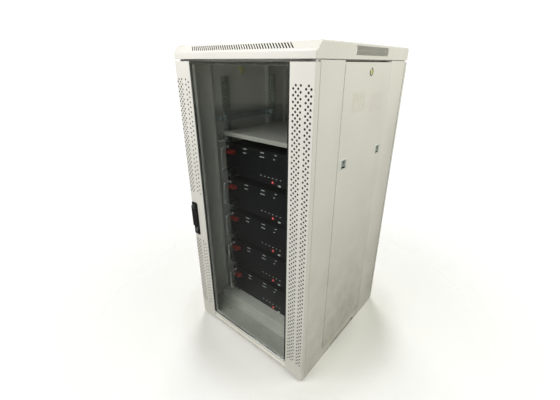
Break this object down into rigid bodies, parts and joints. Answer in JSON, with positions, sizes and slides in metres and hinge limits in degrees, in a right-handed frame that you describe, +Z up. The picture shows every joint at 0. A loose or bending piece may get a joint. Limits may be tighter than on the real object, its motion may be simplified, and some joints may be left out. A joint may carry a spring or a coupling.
{
  "type": "battery cabinet",
  "caption": "Upright steel rack cabinet with a smoked glass front door and lift-off side panels, holding rack-mounted battery modules.",
  "frame": {"origin": "on the floor, under the middle of the whole box", "axes": "+Z up, -Y out of the glass front door, +X to the right of someone facing the cabinet"},
  "size_m": [0.6, 0.648, 1.2],
  "materials": {
    "frame_paint": "fine-textured powder coat",
    "panel_paint": "fine-textured powder coat",
    "door_paint": "fine-textured powder coat",
    "shelf_paint": "satin powder coat",
    "zinc_plate": "zinc plated",
    "latch_metal": "satin",
    "lock_chrome": "polished",
    "handle_chrome": "polished",
    "handle_black": "semi-gloss",
    "rubber": "matte",
    "door_glass": "toughened, smoked",
    "module_case": "black powder coat",
    "module_face": "black powder coat",
    "button_red": "gloss"
  },
  "bodies": {
    "cabinet": {"base_frame": "frame_paint", "top_frame": "frame_paint", "top_cover": "frame_paint", "floor_crossbar_front": "frame_paint", "floor_crossbar_rear": "frame_paint", "equipment_shelf": "shelf_paint", "front_post_left": "frame_paint", "rear_post_left": "frame_paint", "front_rail_left": "zinc_plate", "rear_rail_left": "zinc_plate", "lower_brace_left": "zinc_plate", "upper_brace_left": "zinc_plate", "front_post_right": "frame_paint", "rear_post_right": "frame_paint", "front_rail_right": "zinc_plate", "rear_rail_right": "zinc_plate", "lower_brace_right": "zinc_plate", "upper_brace_right": "zinc_plate", "module_1_case": "module_case", "module_1_faceplate": "module_face", "module_1_handle_left": "handle_chrome", "module_1_handle_right": "handle_chrome", "module_2_case": "module_case", "module_2_faceplate": "module_face", "module_2_handle_left": "handle_chrome", "module_2_handle_right": "handle_chrome", "module_3_case": "module_case", "module_3_faceplate": "module_face", "module_3_handle_left": "handle_chrome", "module_3_handle_right": "handle_chrome", "module_4_case": "module_case", "module_4_faceplate": "module_face", "module_4_handle_left": "handle_chrome", "module_4_handle_right": "handle_chrome", "module_5_case": "module_case", "module_5_faceplate": "module_face", "module_5_handle_left": "handle_chrome", "module_5_handle_right": "handle_chrome"},
    "front_door": {"front_door_frame": "door_paint", "front_door_glass": "door_glass", "glass_gasket": "rubber", "handle_plate": "handle_black"},
    "handle_spindle": {"handle_spindle": "zinc_plate"},
    "handle_lever": {"handle_lever": "handle_black"},
    "handle_key_cylinder": {"handle_key_cylinder": "lock_chrome"},
    "rear_door": {"rear_door": "door_paint"},
    "rear_key_cylinder": {"rear_key_cylinder": "lock_chrome"},
    "side_panel_left": {"side_panel_left": "panel_paint"},
    "panel_latch_left_front": {"panel_latch_left_front": "latch_metal"},
    "panel_latch_left_rear": {"panel_latch_left_rear": "latch_metal"},
    "panel_lock_left": {"panel_lock_left": "lock_chrome"},
    "side_panel_right": {"side_panel_right": "panel_paint"},
    "panel_latch_right_front": {"panel_latch_right_front": "latch_metal"},
    "panel_latch_right_rear": {"panel_latch_right_rear": "latch_metal"},
    "panel_lock_right": {"panel_lock_right": "lock_chrome"},
    "module_1_power_button": {"module_1_power_button": "button_red"},
    "module_2_power_button": {"module_2_power_button": "button_red"},
    "module_3_power_button": {"module_3_power_button": "button_red"},
    "module_4_power_button": {"module_4_power_button": "button_red"},
    "module_5_power_button": {"module_5_power_button": "button_red"}
  },
  "joints": [
    {"name": "front_door_hinge", "type": "hinge", "parent": "cabinet", "child": "front_door", "pos_m": [0.2945, -0.301, 0.578], "axis": [0, 0, 1], "range_deg": [0, 120]},
    {"name": "handle_swivel", "type": "hinge", "parent": "front_door", "child": "handle_spindle", "pos_m": [-0.278, -0.312, 0.59], "axis": [0, -1, 0], "range_deg": [0, 90]},
    {"name": "handle_lift", "type": "hinge", "parent": "handle_spindle", "child": "handle_lever", "pos_m": [-0.278, -0.3208, 0.59], "axis": [-1, 0, 0], "range_deg": [0, 35]},
    {"name": "handle_key_turn", "type": "hinge", "parent": "front_door", "child": "handle_key_cylinder", "pos_m": [-0.278, -0.312, 0.478], "axis": [0, 1, 0], "range_deg": [0, 90]},
    {"name": "rear_door_hinge", "type": "hinge", "parent": "cabinet", "child": "rear_door", "pos_m": [-0.2945, 0.3085, 0.578], "axis": [0, 0, 1], "range_deg": [0, 100]},
    {"name": "rear_key_turn", "type": "hinge", "parent": "rear_door", "child": "rear_key_cylinder", "pos_m": [0.272, 0.316, 0.6], "axis": [0, -1, 0], "range_deg": [0, 90]},
    {"name": "side_panel_left_pull_off", "type": "slide", "parent": "cabinet", "child": "side_panel_left", "axis": [-1, 0, 0], "range_m": [0, 0.25]},
    {"name": "panel_latch_left_front_slide", "type": "slide", "parent": "side_panel_left", "child": "panel_latch_left_front", "axis": [0, 0, -1], "range_m": [0, 0.006], "stiffness_N_per_m": 400, "springref_m": -0.002},
    {"name": "panel_latch_left_rear_slide", "type": "slide", "parent": "side_panel_left", "child": "panel_latch_left_rear", "axis": [0, 0, -1], "range_m": [0, 0.006], "stiffness_N_per_m": 400, "springref_m": -0.002},
    {"name": "panel_lock_left_turn", "type": "hinge", "parent": "side_panel_left", "child": "panel_lock_left", "pos_m": [-0.29, 0.007, 1.122], "axis": [1, 0, 0], "range_deg": [0, 90]},
    {"name": "side_panel_right_pull_off", "type": "slide", "parent": "cabinet", "child": "side_panel_right", "axis": [1, 0, 0], "range_m": [0, 0.25]},
    {"name": "panel_latch_right_front_slide", "type": "slide", "parent": "side_panel_right", "child": "panel_latch_right_front", "axis": [0, 0, -1], "range_m": [0, 0.006], "stiffness_N_per_m": 400, "springref_m": -0.002},
    {"name": "panel_latch_right_rear_slide", "type": "slide", "parent": "side_panel_right", "child": "panel_latch_right_rear", "axis": [0, 0, -1], "range_m": [0, 0.006], "stiffness_N_per_m": 400, "springref_m": -0.002},
    {"name": "panel_lock_right_turn", "type": "hinge", "parent": "side_panel_right", "child": "panel_lock_right", "pos_m": [0.29, 0.007, 1.122], "axis": [1, 0, 0], "range_deg": [0, 90]},
    {"name": "module_1_power_button_press", "type": "slide", "parent": "cabinet", "child": "module_1_power_button", "axis": [0, 1, 0], "range_m": [0, 0.002], "stiffness_N_per_m": 500, "springref_m": -0.0005},
    {"name": "module_2_power_button_press", "type": "slide", "parent": "cabinet", "child": "module_2_power_button", "axis": [0, 1, 0], "range_m": [0, 0.002], "stiffness_N_per_m": 500, "springref_m": -0.0005},
    {"name": "module_3_power_button_press", "type": "slide", "parent": "cabinet", "child": "module_3_power_button", "axis": [0, 1, 0], "range_m": [0, 0.002], "stiffness_N_per_m": 500, "springref_m": -0.0005},
    {"name": "module_4_power_button_press", "type": "slide", "parent": "cabinet", "child": "module_4_power_button", "axis": [0, 1, 0], "range_m": [0, 0.002], "stiffness_N_per_m": 500, "springref_m": -0.0005},
    {"name": "module_5_power_button_press", "type": "slide", "parent": "cabinet", "child": "module_5_power_button", "axis": [0, 1, 0], "range_m": [0, 0.002], "stiffness_N_per_m": 500, "springref_m": -0.0005}
  ]
}
